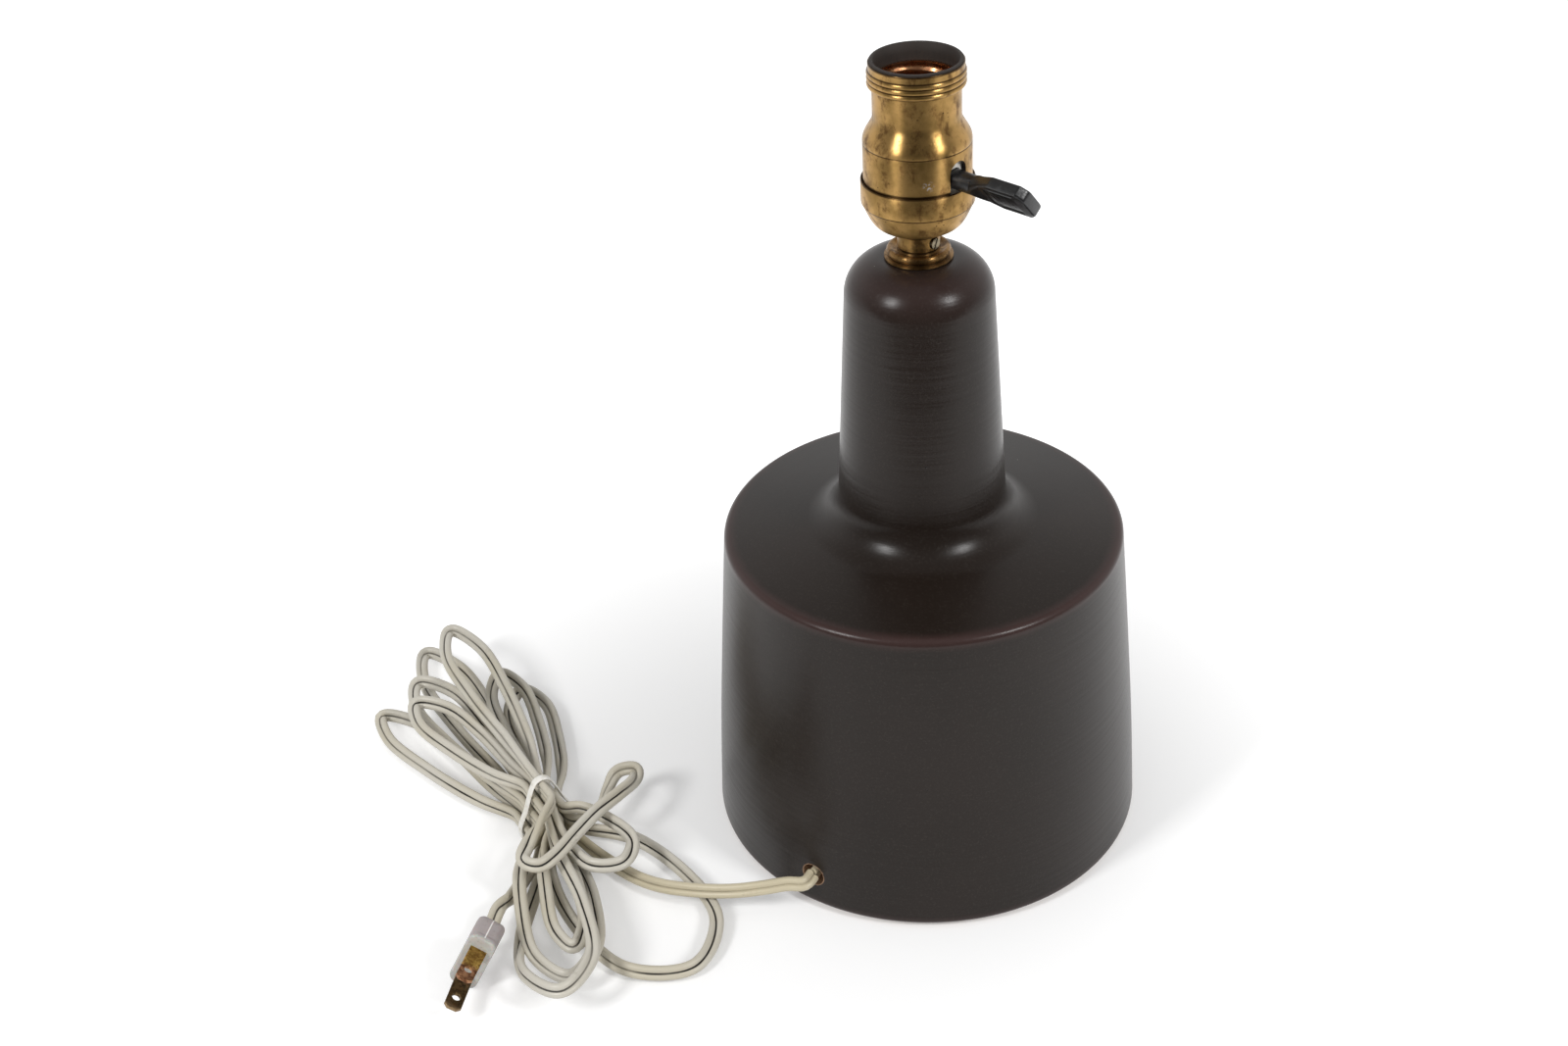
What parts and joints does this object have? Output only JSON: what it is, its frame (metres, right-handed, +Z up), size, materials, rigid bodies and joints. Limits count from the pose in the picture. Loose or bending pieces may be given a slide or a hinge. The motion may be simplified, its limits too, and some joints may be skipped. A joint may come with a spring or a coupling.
{
  "type": "table lamp",
  "caption": "Table lamp with a shouldered ceramic bottle base, a brass lampholder with a turn key, and a flat cord that lies tied in a hank and ends in a plug.",
  "frame": {"origin": "middle of the felt ring's underside, on the table", "axes": "+Z up along the lamp's axis, -Y towards the front, from which the key points to the right and the cord leaves to the left"},
  "size_m": [0.3121, 0.2193, 0.3042],
  "materials": {
    "felt": "pressed wool felt",
    "dark_glaze": "satin charcoal brown glaze, reddish where it breaks over edges",
    "zinc_steel": "zinc plated",
    "dark_plastic": "moulded, slightly worn",
    "dark_brass": "darkened brass",
    "aged_brass": "spun brass with a worn patina",
    "fibre": "pressed fibre",
    "copper": "rolled copper",
    "porcelain": "unglazed porcelain",
    "spring_bronze": "spring bronze",
    "cord_jacket": "soft vinyl, slightly yellowed",
    "white_tie": "soft white plastic",
    "mauve_plastic": "moulded vinyl",
    "milky_plastic": "milky moulded vinyl"
  },
  "bodies": {
    "lamp": {"base_felt": "felt", "ceramic_body": "dark_glaze", "lamp_pipe": "zinc_steel", "base_washer": "zinc_steel", "lock_washer": "zinc_steel", "base_nut": "zinc_steel", "pipe_bushing": "dark_plastic", "neck_washer": "dark_brass", "check_ring": "aged_brass", "socket_cap": "aged_brass", "set_screw": "zinc_steel", "cap_liner": "fibre", "socket_shell": "aged_brass", "shell_sleeve": "fibre", "screw_shell": "copper", "switch_block": "porcelain", "terminal_screw_line": "aged_brass", "terminal_screw_neutral": "zinc_steel", "centre_contact": "spring_bronze", "contact_spring": "spring_bronze", "cord_inside": "cord_jacket", "wire_line": "dark_plastic", "wire_neutral": "cord_jacket", "cord_lead": "cord_jacket", "cord_hank": "cord_jacket", "cord_tail": "cord_jacket", "hank_tie": "white_tie", "plug_grip": "mauve_plastic", "plug_housing": "milky_plastic", "plug_blade_upper": "dark_brass", "plug_blade_lower": "dark_brass"},
    "turn_key": {"key_shaft": "zinc_steel", "switch_cam": "dark_plastic", "switch_key": "dark_plastic"}
  },
  "joints": [
    {"name": "turn_key_spin", "type": "hinge", "parent": "lamp", "child": "turn_key", "pos_m": [0, 0, 0.2672], "axis": [0.7385, -0.6743, 0], "continuous": true}
  ]
}
